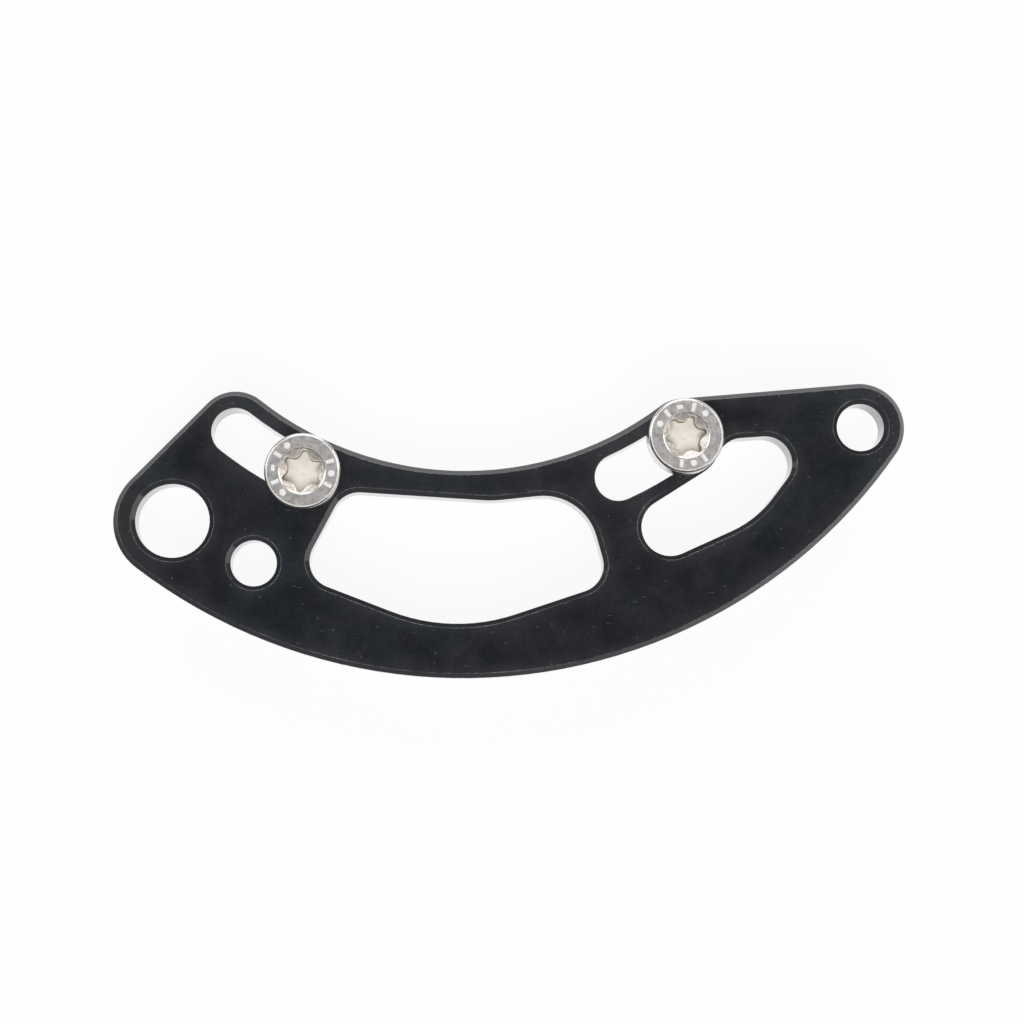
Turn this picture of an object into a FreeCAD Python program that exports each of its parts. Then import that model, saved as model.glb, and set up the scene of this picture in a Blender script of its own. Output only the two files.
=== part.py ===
import FreeCAD, Part
import math
import os

# Chainring guard: a flat milled plate with two low-head screws standing in its adjusting slots.
# The plate is drawn about the crank axis. Angles are in degrees from straight below that axis, with the
# +X side positive. Lengths are in millimetres. The plate's back lies in z = 0 and the screw heads face +Z.

# Screws
thread_diameter = 6.0
shank_length = 12.0
shank_end_bevel = 0.9
head_diameter = 10.0
head_height = 3.9
head_edge_bevel = 0.35
socket_tip_diameter = 5.6
socket_waist_diameter = 3.95
socket_lobe_radius = 0.45
socket_flute_radius = 1.1
socket_depth = 2.0
socket_floor_drop = 0.35
socket_rim_diameter = 6.2
socket_rim_slope = 30.0
left_screw_turn = 23.0
right_screw_turn = 11.5

# Plate outline
plate_thickness = 5.0
edge_chamfer = 0.6
outer_radius = 71.4
inner_radius = 43.8
corner_radius = 5.2
left_corner_angle = -38.2
right_corner_angle = 37.2
left_end_radius = 7.8
left_end_angle = -37.2
right_end_radius = 5.95
right_end_angle = 54.9

# Adjusting slots, which leave a narrow land along the hollow edge
slot_clearance = 0.3
slot_land = 2.25
left_slot_outer_angle = -38.0
left_slot_inner_angle = -25.5
right_slot_inner_angle = 24.9
right_slot_outer_angle = 36.8

# Round holes: one in each end of the plate and a small one beside the left end
left_hole_diameter = 9.8
right_hole_diameter = 6.4
small_hole_diameter = 6.1
small_hole_inset = 8.7
small_hole_angle = -26.2

# Middle window. A land is the metal left between a bend and the plate's hollow or outer edge.
window_corner_radius = 3.65
window_shoulder_radius = 7.3
window_crest_radius = 15.0
window_belly_radius = 24.3
window_corner_land = 4.8
window_crest_land = 4.15
window_shoulder_land = 4.35
window_foot_land = 9.4
window_belly_land = 7.2
window_corner_angle = -15.3
window_crest_angle = 6.2
window_shoulder_angle = 11.2
window_right_foot_angle = 15.0
window_belly_angle = -1.1
window_left_foot_angle = -16.6

# Side window, which bends round the right slot's outer end. A lead is an angle past that end.
side_window_wall = 2.05
side_window_bend_radius = 14.6
side_window_right_radius = 3.6
side_window_left_land = 9.3
side_window_right_land = 9.0
side_window_bulge = 0.9
side_window_left_angle = 28.4
side_window_bend_lead = 1.1
side_window_right_lead = 6.9
side_window_tuck_angle = -22.3

# The largest radius of a window's bend as a share of the space between its lands: of a corner, of a fully
# rounded end and of a wide bend
corner_limit = 0.4
round_limit = 0.5
wide_limit = 2.0

blank_margin = 10.0
touching = 1e-4

slot_width = thread_diameter + slot_clearance
slot_radius = inner_radius + slot_land + slot_width / 2


def toward(degrees):
    turn = math.radians(degrees)
    return FreeCAD.Vector(math.cos(turn), math.sin(turn), 0)


def at(radius, angle):
    return toward(angle - 90) * radius


def belt(bends):
    # A closed outline that runs counterclockwise over a ring of circles, straight from one to the next.
    # Each bend is a centre and a radius, and a negative radius bends into the outline.
    runs = []
    for (here, here_radius), (there, there_radius) in zip(bends, bends[1:] + bends[:1]):
        step = there - here
        cosine = (here_radius - there_radius) / step.Length
        lean = math.acos(max(-1.0, min(1.0, cosine)))
        side = math.degrees(math.atan2(step.y, step.x) - lean)
        leaving = here + toward(side) * here_radius
        landing = there + toward(side) * there_radius
        if (landing - leaving).Length < touching:
            landing = leaving
        runs.append((side, leaving, landing))
    edges = []
    for number, (centre, radius) in enumerate(bends):
        arrival, _, start = runs[number - 1]
        departure, end, landing = runs[number]
        sweep = (departure - arrival) % 360
        if radius < 0:
            sweep -= 360
        middle = centre + toward(arrival + sweep / 2) * radius
        edges.append(Part.Arc(start, middle, end).toShape())
        if (landing - end).Length > touching:
            edges.append(Part.LineSegment(end, landing).toShape())
    return Part.Wire(edges)


def prism(bends, bottom, top):
    solid = Part.Face(belt(bends)).extrude(FreeCAD.Vector(0, 0, top - bottom))
    solid.translate(FreeCAD.Vector(0, 0, bottom))
    return solid


def turned(profile):
    # A solid of revolution about Z from the radii and heights of its outline.
    points = [FreeCAD.Vector(radius, 0, height) for radius, height in profile]
    face = Part.Face(Part.makePolygon(points + points[:1]))
    return face.revolve(FreeCAD.Vector(0, 0, 0), FreeCAD.Vector(0, 0, 1), 360)


def hole(centre, diameter):
    return Part.makeCylinder(diameter / 2, plate_thickness, centre)


def plate_outline():
    crank_axis = FreeCAD.Vector(0, 0, 0)
    return [
        (crank_axis, outer_radius),
        (right_end, right_end_radius),
        (at(inner_radius + corner_radius, right_corner_angle), corner_radius),
        (crank_axis, -inner_radius),
        (at(inner_radius + corner_radius, left_corner_angle), corner_radius),
        (left_end, left_end_radius),
    ]


def fitted(radius, near_side, far_side, limit):
    # The radius of a bend, limited by the space that the lands leave it.
    return min(radius, (far_side - near_side) * limit)


def window_outline():
    corner_near = inner_radius + window_corner_land
    shoulder_near = inner_radius + window_shoulder_land
    crest_near = inner_radius + window_crest_land
    foot_far = outer_radius - window_foot_land
    belly_far = outer_radius - window_belly_land
    corner_bend = fitted(window_corner_radius, corner_near, foot_far, corner_limit)
    shoulder_bend = fitted(window_shoulder_radius, shoulder_near, belly_far, round_limit)
    return [
        (at(belly_far - window_belly_radius, window_belly_angle), window_belly_radius),
        (at(foot_far - corner_bend, window_right_foot_angle), corner_bend),
        (at(shoulder_near + shoulder_bend, window_shoulder_angle), shoulder_bend),
        (at(crest_near - window_crest_radius, window_crest_angle), -window_crest_radius),
        (at(corner_near + corner_bend, window_corner_angle), corner_bend),
        (at(foot_far - corner_bend, window_left_foot_angle), corner_bend),
    ]


def side_window_outline():
    slot_end = at(slot_radius, right_slot_outer_angle)
    wall_radius = slot_width / 2 + side_window_wall
    wall_far = slot_radius + wall_radius
    left_far = outer_radius - side_window_left_land
    right_far = outer_radius - side_window_right_land
    bend_far = right_far + side_window_bulge
    left_bend = (left_far - wall_far) * round_limit
    right_bend = fitted(side_window_right_radius, wall_far, right_far, round_limit)
    wide_bend = fitted(side_window_bend_radius, wall_far, bend_far, wide_limit)
    bend_angle = right_slot_outer_angle + side_window_bend_lead
    right_angle = right_slot_outer_angle + side_window_right_lead
    tuck = slot_end + toward(side_window_tuck_angle) * (wall_radius + right_bend)
    return [
        (at(bend_far - wide_bend, bend_angle), wide_bend),
        (at(right_far - right_bend, right_angle), right_bend),
        (tuck, right_bend),
        (slot_end, -wall_radius),
        (at(left_far - left_bend, side_window_left_angle), left_bend),
    ]


def slot_outline(first_angle, last_angle):
    crank_axis = FreeCAD.Vector(0, 0, 0)
    return [
        (crank_axis, slot_radius + slot_width / 2),
        (at(slot_radius, last_angle), slot_width / 2),
        (crank_axis, slot_width / 2 - slot_radius),
        (at(slot_radius, first_angle), slot_width / 2),
    ]


def chamfered(solid):
    rims = [edge for edge in solid.Edges if edge.BoundBox.ZLength < touching]
    return solid.makeChamfer(edge_chamfer, rims)


def guard_plate():
    plate = chamfered(prism(plate_outline(), 0, plate_thickness))
    openings = [
        prism(window_outline(), 0, plate_thickness),
        prism(side_window_outline(), 0, plate_thickness),
        hole(left_end, left_hole_diameter),
        hole(right_end, right_hole_diameter),
        hole(at(outer_radius - small_hole_inset, small_hole_angle), small_hole_diameter),
    ]
    # Each opening is chamfered in a round blank of its own, so that chamfers may meet on a narrow land.
    blank = Part.makeCylinder(outer_radius + blank_margin, plate_thickness)
    for opening in openings:
        plate = plate.common(chamfered(blank.cut(opening)))
    # The slots are milled through last, so their own edges stay sharp.
    return plate.cut([
        prism(slot_outline(left_slot_outer_angle, left_slot_inner_angle), 0, plate_thickness),
        prism(slot_outline(right_slot_inner_angle, right_slot_outer_angle), 0, plate_thickness),
    ])


def socket():
    # Six-lobed drive recess below the head's top, with a dished floor and a countersunk rim.
    bends = []
    for lobe in range(6):
        bends.append((toward(60 * lobe) * (socket_tip_diameter / 2 - socket_lobe_radius), socket_lobe_radius))
        flute = socket_waist_diameter / 2 + socket_flute_radius
        bends.append((toward(60 * lobe + 30) * flute, -socket_flute_radius))
    floor = turned([
        (0, 0),
        (0, -socket_depth - socket_floor_drop),
        (socket_tip_diameter / 2, -socket_depth),
        (socket_tip_diameter / 2, 0),
    ])
    star = prism(bends, -socket_depth - socket_floor_drop, 0).common(floor)
    rim_depth = socket_rim_diameter / 2 * math.tan(math.radians(socket_rim_slope))
    rim = turned([(0, 0), (0, -rim_depth), (socket_rim_diameter / 2, 0)])
    return star.fuse(rim)


def screw(place, turn):
    # The shank's wall is parted at the plate's back, where the length that the frame's thread holds begins.
    shank_radius = thread_diameter / 2
    head_radius = head_diameter / 2
    body = turned([
        (0, -shank_length),
        (shank_radius - shank_end_bevel, -shank_length),
        (shank_radius, -shank_length + shank_end_bevel),
        (shank_radius, -plate_thickness),
        (shank_radius, 0),
        (head_radius, 0),
        (head_radius, head_height - head_edge_bevel),
        (head_radius - head_edge_bevel, head_height),
        (0, head_height),
    ])
    recess = socket()
    recess.translate(FreeCAD.Vector(0, 0, head_height))
    solid = body.cut(recess)
    solid.rotate(FreeCAD.Vector(0, 0, 0), FreeCAD.Vector(0, 0, 1), turn)
    solid.translate(place + FreeCAD.Vector(0, 0, plate_thickness))
    return solid


left_end = at(outer_radius - left_end_radius, left_end_angle)
right_end = at(outer_radius - right_end_radius, right_end_angle)
left_screw = at(slot_radius, left_slot_inner_angle)
right_screw = at(slot_radius, right_slot_outer_angle)

nodes = {
    "guard_plate": guard_plate(),
    "mounting_screws": Part.makeCompound([
        screw(left_screw, left_screw_turn),
        screw(right_screw, right_screw_turn),
    ]),
}

# The finished part's origin is midway between the two screws, on the plate's back.
os.makedirs("parts", exist_ok=True)
for name, shape in nodes.items():
    shape.translate((left_screw + right_screw) * -0.5)
    shape.exportStep("parts/" + name + ".step")
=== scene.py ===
import bmesh
import bpy
import math
from mathutils import Matrix, Vector


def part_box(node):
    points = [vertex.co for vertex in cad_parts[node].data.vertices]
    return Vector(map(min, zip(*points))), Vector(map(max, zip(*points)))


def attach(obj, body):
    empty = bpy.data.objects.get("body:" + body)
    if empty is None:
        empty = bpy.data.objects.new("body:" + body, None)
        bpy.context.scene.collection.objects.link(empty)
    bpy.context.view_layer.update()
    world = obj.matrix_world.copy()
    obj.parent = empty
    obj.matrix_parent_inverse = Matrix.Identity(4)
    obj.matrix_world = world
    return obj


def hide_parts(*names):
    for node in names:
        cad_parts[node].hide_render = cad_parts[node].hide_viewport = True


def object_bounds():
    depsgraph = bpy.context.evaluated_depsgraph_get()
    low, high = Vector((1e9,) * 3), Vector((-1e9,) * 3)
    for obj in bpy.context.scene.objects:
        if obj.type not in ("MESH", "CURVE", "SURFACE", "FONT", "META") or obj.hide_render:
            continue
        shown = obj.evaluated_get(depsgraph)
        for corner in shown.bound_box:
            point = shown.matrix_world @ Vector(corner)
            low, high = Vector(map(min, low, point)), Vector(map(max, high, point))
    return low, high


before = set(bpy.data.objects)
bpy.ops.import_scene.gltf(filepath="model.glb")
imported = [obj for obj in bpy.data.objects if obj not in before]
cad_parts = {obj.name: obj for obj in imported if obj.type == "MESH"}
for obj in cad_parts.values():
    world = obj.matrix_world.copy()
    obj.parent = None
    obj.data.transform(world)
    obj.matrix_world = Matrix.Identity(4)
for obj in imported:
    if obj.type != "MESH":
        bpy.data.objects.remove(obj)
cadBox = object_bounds()
millimetre = 0.001
print("stage: frame loaded,", len(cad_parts), "nodes")


def addNode(tree, kind, inputs=None, **settings):
    node = tree.nodes.new(kind)
    for name, value in settings.items():
        setattr(node, name, value)
    for name, value in (inputs or {}).items():
        if isinstance(value, bpy.types.NodeSocket):
            tree.links.new(value, node.inputs[name])
        else:
            node.inputs[name].default_value = value
    return node


def newMaterial(name):
    material = bpy.data.materials.new(name)
    material.use_nodes = True
    material.node_tree.nodes.clear()
    return material, material.node_tree


def finishMaterial(tree, shader):
    output = addNode(tree, "ShaderNodeOutputMaterial")
    tree.links.new(shader, output.inputs["Surface"])


def combine(tree, first, second, operation="MULTIPLY"):
    return addNode(tree, "ShaderNodeMath", {0: first, 1: second}, operation=operation).outputs[0]


def ramp(tree, value, low, high, toLow=0.0, toHigh=1.0):
    limits = {"Value": value, "From Min": low, "From Max": high, "To Min": toLow, "To Max": toHigh}
    return addNode(tree, "ShaderNodeMapRange", limits, clamp=True).outputs["Result"]


def blend(tree, factor, first, second):
    # sockets 6 and 7 are the mix node's two colours
    return addNode(tree, "ShaderNodeMix", {0: factor, 6: first, 7: second}, data_type="RGBA").outputs[2]


def noise(tree, place, scale, detail, roughness):
    inputs = {"Vector": place, "Scale": scale, "Detail": detail, "Roughness": roughness}
    return addNode(tree, "ShaderNodeTexNoise", inputs).outputs["Fac"]


# black anodised plate, with dust, specks, short scratches and rubbed edges, a painted glare near its
# edges and a painted sheen on its chamfers
# a row of four is a ramp: from these two values to those two
plateLook = {
    "blueBlack": (0.0060, 0.0100, 0.0136, 1.0),
    "warmBlack": (0.0112, 0.0089, 0.0117, 1.0),
    # dust, and also the colour of the painted glare near the edges
    "dustAndGlare": (0.22, 0.22, 0.23, 1.0),
    "rubbed": (0.45, 0.45, 0.46, 1.0),
    # painted sheen: the chamfers are painted this lighter grey
    "chamferSheen": (0.035, 0.036, 0.040, 1.0),
    "tintScale": 100.0,
    "cloudScale": 160.0,
    "cloudDetail": 8.0,
    "cloudRoughness": 0.74,
    "grainScale": 2200.0,
    "grainDetail": 4.0,
    "grainRoughness": 0.6,
    "tintLimits": (0.40, 0.60),
    "hazeClouds": (0.40, 0.75),
    "hazeGrain": (0.35, 0.70, 0.3, 1.0),
    "hazeShare": 0.12,
    "speckScale": 520.0,
    "speckCells": 0.20,
    "speckSize": 0.07,
    "scratchStretch": (150.0, 1300.0, 1.0),
    "scratchTurns": (12.0, -38.0),
    "scratchCells": 0.10,
    "scratchSize": 0.06,
    "markShare": 0.40,
    "milledLean": (0.92, 0.85),
    "chamferLean": (0.45, 0.55),
    # how far the painted glare reaches in from the edges, and how strong it is
    "paleWidth": 3.0 * millimetre,
    "paleLimits": (0.95, 0.15),
    "paleShare": 0.15,
    "rubWidth": 0.19 * millimetre,
    "rubLimits": (0.997, 0.980),
    "rubClouds": (0.40, 0.64, 0.05, 1.0),
    "rubGrain": (0.40, 0.62, 0.45, 1.2),
    "rubShare": 0.46,
    "edgeRound": 0.08 * millimetre,
    "faceRoughness": (0.30, 0.70, 0.22, 0.32),
    "cutRoughness": 0.13,
    "coatRoughness": 0.13,
    "grainBump": 0.05,
    "grainHeight": 0.03 * millimetre,
}


def scatter(tree, place, scale, share, size):
    # small spots, one in the middle of a share of the cells
    cells = addNode(tree, "ShaderNodeTexVoronoi", {"Vector": place, "Scale": scale},
                    voronoi_dimensions="2D").outputs
    draw = addNode(tree, "ShaderNodeSeparateColor", {"Color": cells["Color"]}).outputs["Red"]
    kept = ramp(tree, draw, 1.0 - share, 1.0 - share * 0.5)
    spot = ramp(tree, cells["Distance"], size, size * 0.4)
    return combine(tree, spot, kept)


def anodisedBlack(look):
    material, tree = newMaterial("anodisedBlack")
    place = addNode(tree, "ShaderNodeTexCoord").outputs["Object"]
    tint = noise(tree, place, look["tintScale"], look["cloudDetail"], look["cloudRoughness"])
    clouds = noise(tree, place, look["cloudScale"], look["cloudDetail"], look["cloudRoughness"])
    grain = noise(tree, place, look["grainScale"], look["grainDetail"], look["grainRoughness"])
    colour = blend(tree, ramp(tree, tint, *look["tintLimits"]), look["blueBlack"], look["warmBlack"])
    haze = combine(tree, ramp(tree, clouds, *look["hazeClouds"]), ramp(tree, grain, *look["hazeGrain"]))
    colour = blend(tree, combine(tree, haze, look["hazeShare"]), colour, look["dustAndGlare"])

    # specks and scratches on the flat faces only
    marks = scatter(tree, place, look["speckScale"], look["speckCells"], look["speckSize"])
    for turn in look["scratchTurns"]:
        lay = {"Vector": place, "Rotation": (0.0, 0.0, math.radians(turn)),
               "Scale": look["scratchStretch"]}
        turned = addNode(tree, "ShaderNodeMapping", lay).outputs["Vector"]
        scratches = scatter(tree, turned, 1.0, look["scratchCells"], look["scratchSize"])
        marks = combine(tree, marks, scratches, "MAXIMUM")
    surface = addNode(tree, "ShaderNodeNewGeometry").outputs["Normal"]
    lean = addNode(tree, "ShaderNodeSeparateXYZ", {"Vector": surface}).outputs["Z"]
    lean = addNode(tree, "ShaderNodeMath", {0: lean}, operation="ABSOLUTE").outputs[0]
    milled = ramp(tree, lean, *look["milledLean"])  # chamfers and walls
    flat = ramp(tree, milled, 1.0, 0.0)
    chamfer = combine(tree, milled, ramp(tree, lean, *look["chamferLean"]))
    marks = combine(tree, marks, flat)
    colour = blend(tree, combine(tree, marks, look["markShare"]), colour, look["dustAndGlare"])

    # paler towards the edges, a painted glare; the chamfers painted lighter grey, a painted sheen; and
    # rubbed along their corners
    near = addNode(tree, "ShaderNodeAmbientOcclusion", {"Distance": look["paleWidth"]},
                   samples=8, inside=True, only_local=True).outputs["AO"]
    pale = combine(tree, ramp(tree, near, *look["paleLimits"]), flat)
    colour = blend(tree, combine(tree, pale, look["paleShare"]), colour, look["dustAndGlare"])
    # a painted sheen: the chamfers painted lighter grey
    colour = blend(tree, chamfer, colour, look["chamferSheen"])
    edge = addNode(tree, "ShaderNodeBevel", {"Radius": look["rubWidth"]}, samples=8).outputs["Normal"]
    turnedIn = addNode(tree, "ShaderNodeVectorMath", {0: edge, 1: surface}, operation="DOT_PRODUCT")
    rub = ramp(tree, turnedIn.outputs["Value"], *look["rubLimits"])
    rub = combine(tree, rub, ramp(tree, clouds, *look["rubClouds"]))
    rub = combine(tree, rub, ramp(tree, grain, *look["rubGrain"]))
    colour = blend(tree, combine(tree, rub, look["rubShare"]), colour, look["rubbed"])

    rounded = addNode(tree, "ShaderNodeBevel", {"Radius": look["edgeRound"]},
                      samples=6).outputs["Normal"]
    roughness = ramp(tree, clouds, *look["faceRoughness"])
    roughness = addNode(tree, "ShaderNodeMix",
                        {0: milled, 2: roughness, 3: look["cutRoughness"]}).outputs[0]
    bump = addNode(tree, "ShaderNodeBump",
                   {"Height": grain, "Strength": look["grainBump"], "Distance": look["grainHeight"],
                    "Normal": rounded}).outputs["Normal"]
    shader = addNode(tree, "ShaderNodeBsdfPrincipled",
                     {"Base Color": colour, "Roughness": roughness, "Normal": bump,
                      "Coat Weight": 1.0, "Coat Roughness": look["coatRoughness"],
                      "Coat Normal": rounded})
    finishMaterial(tree, shader.outputs["BSDF"])
    return material


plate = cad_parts["guard_plate"]
plateMaterial = anodisedBlack(plateLook)
for holder in plate.material_slots:
    holder.material = plateMaterial
print("stage: plate dressed,", len(plate.data.polygons), "faces")

# low-head screws with a six-lobed socket and a rolled thread, in millimetres above the head's seat
# a row of pairs gives rings, each by its distance outwards and its height from what it stands on
screwShape = {
    "leftTurn": 23.0,
    "rightTurn": -48.5,
    "divisions": 192,
    "headRadius": 5.0,
    "headHeight": 3.9,
    "headFoot": ((0.0, 0.20), (0.0, 0.12), (-0.03, 0.03), (-0.12, 0.0), (-0.20, 0.0)),
    "edgeSteps": 8,
    "frostedSteps": 3,
    "faceDrop": 0.08,
    "faceEdge": 4.62,
    "faceSteps": (0.08, 0.5, 0.92),
    "lobeReach": math.radians(10.25),
    "lobeRadius": 0.45,
    "lobeCentre": 2.35,
    "fluteRadius": 1.1,
    "fluteCentre": 3.075,
    "socketDepth": 2.0,
    "floorDrop": 0.35,
    "dimple": ((0.10, -0.10), (0.22, -0.06), (0.30, 0.03)),
    "floorSteps": (0.35, 0.6, 0.9),
    "floorEdge": ((-0.06, 0.0), (-0.02, 0.01), (0.0, 0.05), (0.0, 0.09)),
    "wallTop": ((0.0, -0.14), (0.0, -0.10)),
    "socketLip": ((0.05, -0.03), (0.11, 0.0)),
    "lipEnd": 0.13,
    "rimRadius": 3.1,
    "rimSlope": math.tan(math.radians(30)),
    "rimCutEnd": -0.11,
    "rimPolishEnd": -0.02,
    "rimRoundEnd": 0.03,
    "shankLength": 12.0,
    "neckRadius": 2.6,
    "neckLength": 0.9,
    "neckRound": ((0.25, 0.0), (0.20, -0.01), (0.04, -0.12), (0.0, -0.25), (0.0, -0.35)),
    "threadRadius": 3.0,
    "threadDepth": 0.613,
    "threadPitch": 1.0,
    "threadFlank": (0.75, 0.125),  # where a flank starts and ends, in half pitches from the crest
    "threadSteps": 24,
    "endBevel": 0.9,
    "endRound": 0.1,
    "sharpFrom": math.radians(48),
}
# the screws' finishes, in the order of their materials; the socket floor's cream is a painted warm
# light and the socket wall's dark brown a painted shade
satin, bright, frosted, rimCut, socketFloor, socketWall = range(6)


def starRadius(angle, shape):
    turn = abs((angle + math.pi / 6) % (math.pi / 3) - math.pi / 6)  # from the nearest lobe's middle
    if turn < shape["lobeReach"]:
        centre, bend, side = shape["lobeCentre"], shape["lobeRadius"], 1
    else:
        centre, bend, side = shape["fluteCentre"], shape["fluteRadius"], -1
        turn -= math.pi / 6
    across = centre * math.sin(turn)
    return centre * math.cos(turn) + side * math.sqrt(bend ** 2 - across ** 2)


def threadRadius(angle, depth, shape):
    phase = (-depth / shape["threadPitch"] - angle / math.tau) % 1.0
    root, crest = shape["threadFlank"]
    rise = min(1.0, max(0.0, (root - abs(2.0 * phase - 1.0)) / (root - crest)))
    rise = rise * rise * (3.0 - 2.0 * rise)
    radius = shape["threadRadius"] - shape["threadDepth"] * (1.0 - rise)
    runIn = min(1.0, max(0.0, (depth - shape["neckLength"]) / shape["threadPitch"]))
    radius = shape["neckRadius"] + (radius - shape["neckRadius"]) * runIn
    return min(radius, shape["threadRadius"] - shape["endBevel"] + shape["shankLength"] - depth)


def growRing(bm, edges, radiusAt, heightAt, finish):
    grown = bmesh.ops.extrude_edge_only(bm, edges=edges)["geom"]
    for item in grown:
        if isinstance(item, bmesh.types.BMVert):
            angle = math.atan2(item.co.y, item.co.x)
            radius = radiusAt(angle)
            item.co = Vector((radius * math.cos(angle), radius * math.sin(angle), heightAt(radius)))
        elif isinstance(item, bmesh.types.BMFace):
            item.material_index = finish
    return [item for item in grown if isinstance(item, bmesh.types.BMEdge)]


def screwRings(shape):
    # every ring after the first, from the socket's floor over the head and down the thread
    face = shape["headHeight"] - shape["faceDrop"]
    floor = shape["headHeight"] - shape["socketDepth"]
    drop = shape["floorDrop"]
    rim = shape["rimRadius"]

    def star(scale, outward=0.0):
        return lambda angle: starRadius(angle, shape) * scale + outward

    def circle(radius):
        return lambda angle: radius

    def thread(depth):
        return lambda angle: threadRadius(angle, depth, shape)

    def level(height):
        return lambda radius: height

    def cone(rise=0.0):
        return lambda radius: face - (rim - radius) * shape["rimSlope"] + rise

    rings = []
    for radius, rise in shape["dimple"][1:]:
        rings += [(circle(radius), level(floor - drop + rise), socketFloor)]
    for scale in shape["floorSteps"]:
        rings += [(star(scale), level(floor - drop * (1.0 - scale)), socketFloor)]
    for outward, rise in shape["floorEdge"]:
        finish = socketWall if rise > 0.0 else socketFloor
        rings += [(star(1.0, outward), level(floor + rise), finish)]
    for outward, rise in shape["wallTop"]:
        rings += [(star(1.0, outward), cone(rise), socketWall)]
    for outward, rise in shape["socketLip"]:
        rings += [(star(1.0, outward), cone(rise), frosted)]
    rings += [(star(1.0, shape["lipEnd"]), cone(), rimCut)]
    rings += [(circle(rim + shape["rimCutEnd"]), cone(), rimCut)]
    rings += [(circle(rim + shape["rimPolishEnd"]), cone(), bright)]
    rings += [(circle(rim + shape["rimRoundEnd"]), level(face), frosted)]
    for step in shape["faceSteps"]:
        rings += [(circle(rim + (shape["faceEdge"] - rim) * step), level(face), satin)]
    edgeRound = shape["headRadius"] - shape["faceEdge"]
    for step in range(shape["edgeSteps"] + 1):
        turn = math.pi / 2 * step / shape["edgeSteps"]
        radius = shape["headRadius"] - edgeRound * (1.0 - math.sin(turn))
        height = face - edgeRound * (1.0 - math.cos(turn))
        finish = satin if step == 0 else frosted if step < shape["frostedSteps"] else bright
        rings += [(circle(radius), level(height), finish)]
    for outward, height in shape["headFoot"]:
        rings += [(circle(shape["headRadius"] + outward), level(height), bright)]
    for outward, height in shape["neckRound"]:
        rings += [(circle(shape["neckRadius"] + outward), level(height), bright)]
    stepDepth = shape["threadPitch"] / shape["threadSteps"]
    firstStep = round(shape["neckLength"] / stepDepth)
    lastStep = round(shape["shankLength"] / stepDepth)
    for step in range(firstStep, lastStep + 1):
        depth = step * stepDepth
        rings += [(thread(depth), level(-depth), bright)]
    endRadius = shape["threadRadius"] - shape["endBevel"] - shape["endRound"]
    rings += [(circle(endRadius), level(-shape["shankLength"]), bright)]
    return rings


# plain raised ticks and dots on the head's face, as angles from one lobe, in millimetres
markShape = {
    "bars": (124, 180, -52, -4),
    "dashes": (152,),
    "dots": (98, 206, -28),
    "middle": 3.83,
    "length": 1.15,
    "width": 0.54,
    "dashShare": 0.7,
    "dotRadius": 0.45,
    "dotSides": 28,
    "belowTop": 0.01,
    "sink": 0.08,
    "bevel": 0.06,
    "bevelSteps": 3,
}


def addMarks(bm, marks, shape):
    before = set(bm.faces)
    height = shape["faceDrop"] + marks["sink"]
    middleHeight = shape["headHeight"] - marks["belowTop"] - height / 2
    outwards = Matrix.Translation((marks["middle"], 0.0, middleHeight))
    for turn in marks["bars"] + marks["dashes"] + marks["dots"]:
        if turn in marks["dots"]:
            dot = bmesh.ops.create_cone(bm, cap_ends=True, segments=marks["dotSides"], depth=height,
                                        radius1=marks["dotRadius"], radius2=marks["dotRadius"])
            made = dot["verts"]
        else:
            made = bmesh.ops.create_cube(bm, size=1.0)["verts"]
            along, across = marks["length"], marks["width"]
            if turn in marks["dashes"]:
                along, across = across, along * marks["dashShare"]
            bmesh.ops.scale(bm, verts=made, vec=(along, across, height))
        edges = {edge for vert in made for edge in vert.link_edges}
        upper = [edge for edge in edges if min(vert.co.z for vert in edge.verts) > 0.0]
        done = bmesh.ops.bevel(bm, geom=upper, offset=marks["bevel"], affect="EDGES",
                               segments=marks["bevelSteps"], profile=0.5, material=-1)
        made = {vert for vert in made if vert.is_valid}
        made |= {vert for face in done["faces"] for vert in face.verts}
        turned = Matrix.Rotation(math.radians(turn), 4, "Z")
        bmesh.ops.transform(bm, verts=list(made), matrix=turned @ outwards)
    for face in set(bm.faces) - before:
        face.material_index = frosted


def makeScrew(name, place, turn, materials):
    bm = bmesh.new()
    shape = screwShape
    radius, rise = shape["dimple"][0]
    start = bmesh.ops.create_circle(bm, cap_ends=True, segments=shape["divisions"], radius=radius)
    for vert in start["verts"]:
        vert.co.z = shape["headHeight"] - shape["socketDepth"] - shape["floorDrop"] + rise
    for face in bm.faces:
        face.material_index = socketFloor
    edges = list(bm.edges)
    for radiusAt, heightAt, finish in screwRings(shape):
        edges = growRing(bm, edges, radiusAt, heightAt, finish)
    for face in bmesh.ops.contextual_create(bm, geom=edges)["faces"]:
        face.material_index = bright
    addMarks(bm, markShape, shape)
    bmesh.ops.recalc_face_normals(bm, faces=bm.faces)
    local = bm.verts.layers.float_vector.new("screwPlace")  # for the steel's grain
    for vert in bm.verts:
        vert[local] = vert.co
    for face in bm.faces:
        face.smooth = True
    for edge in bm.edges:
        onThread = min(vert.co.z for vert in edge.verts) < -shape["neckLength"]
        edge.smooth = onThread or edge.calc_face_angle(0.0) < shape["sharpFrom"]
    seat = Matrix.Translation(place) @ Matrix.Rotation(math.radians(turn), 4, "Z")
    bmesh.ops.transform(bm, verts=bm.verts, matrix=seat @ Matrix.Scale(millimetre, 4))
    mesh = bpy.data.meshes.new(name)
    bm.to_mesh(mesh)
    bm.free()
    screw = bpy.data.objects.new(name, mesh)
    bpy.context.scene.collection.objects.link(screw)
    for material in materials:
        mesh.materials.append(material)
    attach(screw, "root")
    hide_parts("mounting_screws")
    return screw
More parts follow.
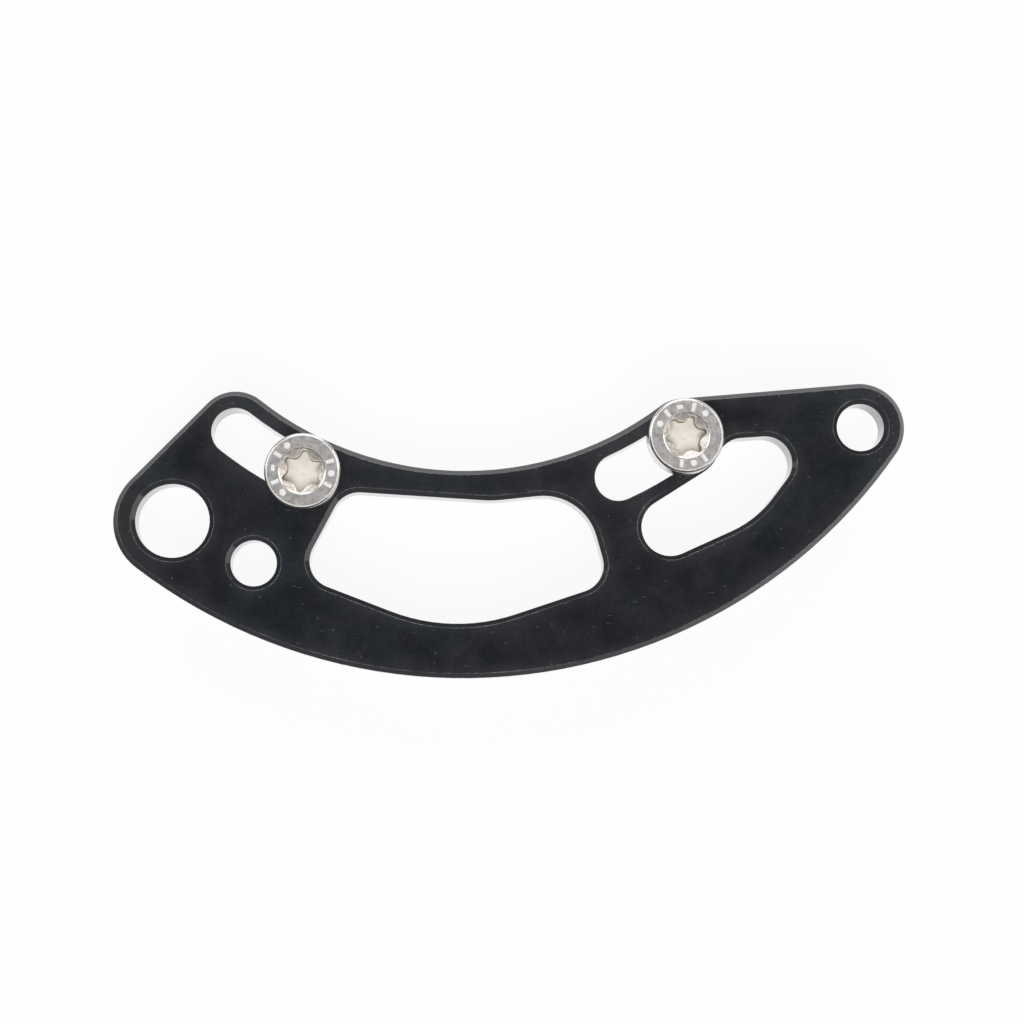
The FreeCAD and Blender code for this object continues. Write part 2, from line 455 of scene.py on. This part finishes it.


# the screws' six finishes, the socket floor's with a painted warm light and the socket wall's with a
# painted shade in the recess: shade darkens the dull spots, and grain is counted in a millimetre
steelLook = {
    "satinSteel": {"colour": (0.92, 0.87, 0.84), "shade": 0.48, "metal": 0.85,
                   "roughness": 0.46, "grain": 11.0, "bump": 0.60},
    "brightSteel": {"colour": (0.80, 0.785, 0.76), "shade": 0.88, "metal": 1.0,
                    "roughness": 0.17, "grain": 6.0, "bump": 0.05},
    "frostedSteel": {"colour": (0.95, 0.93, 0.90), "shade": 0.90, "metal": 0.20,
                     "roughness": 0.60, "grain": 8.0, "bump": 0.20},
    "rimCutSteel": {"colour": (0.96, 0.87, 0.79), "shade": 0.40, "metal": 0.60,
                    "roughness": 0.36, "grain": 4.0, "bump": 1.0},
    # dull steel in the socket's floor, its cream tint a painted warm light
    "socketFloorWarmLitSteel": {"colour": (0.97, 0.92, 0.82), "shade": 0.93, "metal": 0.1,
                         "roughness": 0.50, "grain": 5.0, "bump": 0.10},
    # the socket's walls painted dark brown: a painted shade in the recess
    "socketWallShadedSteel": {"colour": (0.50, 0.43, 0.34), "shade": 0.70, "metal": 0.8,
                        "roughness": 0.42, "grain": 6.0, "bump": 0.12},
}
# what the six have in common
steelWear = {
    "mottleScale": 1.7,
    "mottleDetail": 6.0,
    "mottleRoughness": 0.62,
    "grainDetail": 5.0,
    "grainRoughness": 0.6,
    "dullLimits": (0.38, 0.60),
    "roughLimits": (0.30, 0.70),
    "smoother": 0.05,
    "rougher": 0.09,
    "grainHeight": 0.03 * millimetre,
}


def steel(name, look, wear):
    material, tree = newMaterial(name)
    place = addNode(tree, "ShaderNodeAttribute", attribute_name="screwPlace").outputs["Vector"]
    mottle = noise(tree, place, wear["mottleScale"], wear["mottleDetail"], wear["mottleRoughness"])
    grain = noise(tree, place, look["grain"], wear["grainDetail"], wear["grainRoughness"])
    clean = look["colour"] + (1.0,)
    dull = tuple(part * look["shade"] for part in look["colour"]) + (1.0,)
    spots = combine(tree, combine(tree, mottle, grain, "ADD"), 0.5)
    colour = blend(tree, ramp(tree, spots, *wear["dullLimits"]), dull, clean)
    smoothest = look["roughness"] - wear["smoother"]
    roughest = look["roughness"] + wear["rougher"]
    roughness = ramp(tree, grain, *wear["roughLimits"], smoothest, roughest)
    bump = addNode(tree, "ShaderNodeBump",
                   {"Height": grain, "Strength": look["bump"], "Distance": wear["grainHeight"]})
    shader = addNode(tree, "ShaderNodeBsdfPrincipled",
                     {"Base Color": colour, "Metallic": look["metal"], "Roughness": roughness,
                      "Normal": bump.outputs["Normal"]})
    finishMaterial(tree, shader.outputs["BSDF"])
    return material


steels = [steel(name, look, steelWear) for name, look in steelLook.items()]
screwLow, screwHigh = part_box("mounting_screws")
inset = Vector((screwShape["headRadius"], screwShape["headRadius"], 0.0)) * millimetre
seatHeight = screwHigh.z - screwShape["headHeight"] * millimetre
leftPlace = Vector((screwLow.x, screwLow.y, seatHeight)) + inset
rightPlace = Vector((screwHigh.x, screwHigh.y, seatHeight)) - inset
leftScrew = makeScrew("leftScrew", leftPlace, screwShape["leftTurn"], steels)
rightScrew = makeScrew("rightScrew", rightPlace, screwShape["rightTurn"], steels)
print("stage: screws made,", len(leftScrew.data.polygons), "faces each")

# white floor just under the screw ends, darker in what the part mirrors of its front left side
# each shaded row is where the shade starts and where it is full, in metres
floorLook = {
    "size": 6.0,
    "white": (0.95, 0.95, 0.95, 1.0),
    "shaded": (0.16, 0.16, 0.17, 1.0),
    "shadedLeft": (0.10, 0.035),
    "shadedFront": (0.14, -0.04),
    "shadedBeyond": (0.065, 0.10),
    "shadowShare": 0.07,
    "gap": 0.02 * millimetre,
}


def whiteFloor(look):
    material, tree = newMaterial("whiteFloor")
    paths = addNode(tree, "ShaderNodeLightPath").outputs
    seen = combine(tree, paths["Is Glossy Ray"], paths["Is Transmission Ray"], "MAXIMUM")
    place = addNode(tree, "ShaderNodeTexCoord").outputs["Object"]
    across = addNode(tree, "ShaderNodeSeparateXYZ", {"Vector": place}).outputs
    left = ramp(tree, across["X"], *look["shadedLeft"])
    front = ramp(tree, across["Y"], *look["shadedFront"])
    away = addNode(tree, "ShaderNodeVectorMath", {0: place}, operation="LENGTH").outputs["Value"]
    corner = combine(tree, left, front)
    corner = combine(tree, corner, ramp(tree, away, *look["shadedBeyond"]))
    corner = combine(tree, corner, combine(tree, 1.0, paths["Is Camera Ray"], "SUBTRACT"))
    paper = blend(tree, corner, look["white"], look["shaded"])
    matt = addNode(tree, "ShaderNodeBsdfDiffuse", {"Color": paper}).outputs["BSDF"]
    glow = addNode(tree, "ShaderNodeEmission", {"Strength": 1.0}).outputs["Emission"]
    seen = combine(tree, seen, combine(tree, 1.0, corner, "SUBTRACT"))
    seen = combine(tree, seen, paths["Is Camera Ray"], "MAXIMUM")
    share = combine(tree, seen, 1.0 - look["shadowShare"])
    above = addNode(tree, "ShaderNodeMixShader", {"Fac": share, 1: matt, 2: glow}).outputs["Shader"]
    under = addNode(tree, "ShaderNodeNewGeometry").outputs["Backfacing"]
    clear = addNode(tree, "ShaderNodeBsdfTransparent").outputs["BSDF"]
    whole = addNode(tree, "ShaderNodeMixShader", {"Fac": under, 1: above, 2: clear})  # clear from below
    finishMaterial(tree, whole.outputs["Shader"])
    return material


def addFloor(look, height):
    bm = bmesh.new()
    bmesh.ops.create_grid(bm, x_segments=1, y_segments=1, size=look["size"] / 2)
    bmesh.ops.translate(bm, verts=bm.verts, vec=Vector((0.0, 0.0, height)))
    mesh = bpy.data.meshes.new("floor")
    bm.to_mesh(mesh)
    bm.free()
    mesh.materials.append(whiteFloor(look))
    floor = bpy.data.objects.new("floor", mesh)
    bpy.context.scene.collection.objects.link(floor)


addFloor(floorLook, cadBox[0].z - floorLook["gap"])

# soft studio light: lamps that light the part, and lamps that are only mirrored in it
lightSet = {
    "back": {"place": (0.00, 0.85, 0.55), "size": 0.80, "watts": 5.2,
             "lights": True, "mirrored": True},
    "left": {"place": (-0.66, 0.35, 0.62), "size": 0.50, "watts": 2.4,
             "lights": False, "mirrored": True},
    "right": {"place": (0.68, 0.35, 0.64), "size": 0.50, "watts": 2.4,
              "lights": False, "mirrored": True},
    "edge": {"place": (0.85, -0.28, 0.34), "size": 0.80, "watts": 1.6,
             "lights": False, "mirrored": True},
    "fill": {"place": (0.00, -0.48, 0.86), "size": 0.60, "watts": 8.2,
             "lights": True, "mirrored": False},
}


def addLights(lights):
    for name, values in lights.items():
        lamp = bpy.data.lights.new(name, "AREA")
        lamp.shape = "SQUARE"
        lamp.size = values["size"]
        lamp.energy = values["watts"]
        light = bpy.data.objects.new(name, lamp)
        light.location = values["place"]
        light.visible_glossy = values["mirrored"]
        light.visible_diffuse = values["lights"]
        light.visible_camera = False
        light.rotation_euler = (-Vector(values["place"])).to_track_quat("-Z", "Y").to_euler()
        bpy.context.scene.collection.objects.link(light)


addLights(lightSet)

# grey room, white behind the floor's edge and below it
roomLook = {
    "grey": (0.075, 0.078, 0.086, 1.0),
    "white": floorLook["white"],
    "horizon": (0.0, -0.01),
}


def addRoom(look):
    world = bpy.data.worlds.new("studio")
    world.use_nodes = True
    tree = world.node_tree
    paths = addNode(tree, "ShaderNodeLightPath").outputs
    towards = addNode(tree, "ShaderNodeTexCoord").outputs["Generated"]
    height = addNode(tree, "ShaderNodeSeparateXYZ", {"Vector": towards}).outputs["Z"]
    mirrored = combine(tree, paths["Is Glossy Ray"], ramp(tree, height, *look["horizon"]))
    seen = combine(tree, paths["Is Camera Ray"], paths["Is Transmission Ray"], "MAXIMUM")
    seen = combine(tree, seen, mirrored, "MAXIMUM")
    colour = blend(tree, seen, look["grey"], look["white"])
    tree.links.new(colour, tree.nodes["Background"].inputs["Color"])
    bpy.context.scene.world = world


addRoom(roomLook)

# the photograph's view: nearly straight down, from a little in front and to the left, in millimetres
viewFrom = {
    "lens": 75.54,
    "sensor": 36.0,
    "place": (-10.208, -35.881, 289.2),
    "target": (2.388, -7.381, 4.4),
    "clipFrom": 10.0,
}


def addCamera(view):
    camera = bpy.data.cameras.new("camera")
    camera.lens = view["lens"]
    camera.sensor_width = view["sensor"]
    camera.clip_start = view["clipFrom"] * millimetre
    holder = bpy.data.objects.new("camera", camera)
    place = Vector(view["place"]) * millimetre
    forward = (Vector(view["target"]) * millimetre - place).normalized()
    across = forward.cross(Vector((0.0, 1.0, 0.0))).normalized()
    upward = across.cross(forward)
    holder.matrix_world = Matrix((
        (across.x, upward.x, -forward.x, place.x),
        (across.y, upward.y, -forward.y, place.y),
        (across.z, upward.z, -forward.z, place.z),
        (0.0, 0.0, 0.0, 1.0),
    ))
    bpy.context.scene.collection.objects.link(holder)
    bpy.context.scene.camera = holder


addCamera(viewFrom)
bpy.context.scene.view_settings.view_transform = "Standard"
print("stage: floor, lights and camera set")
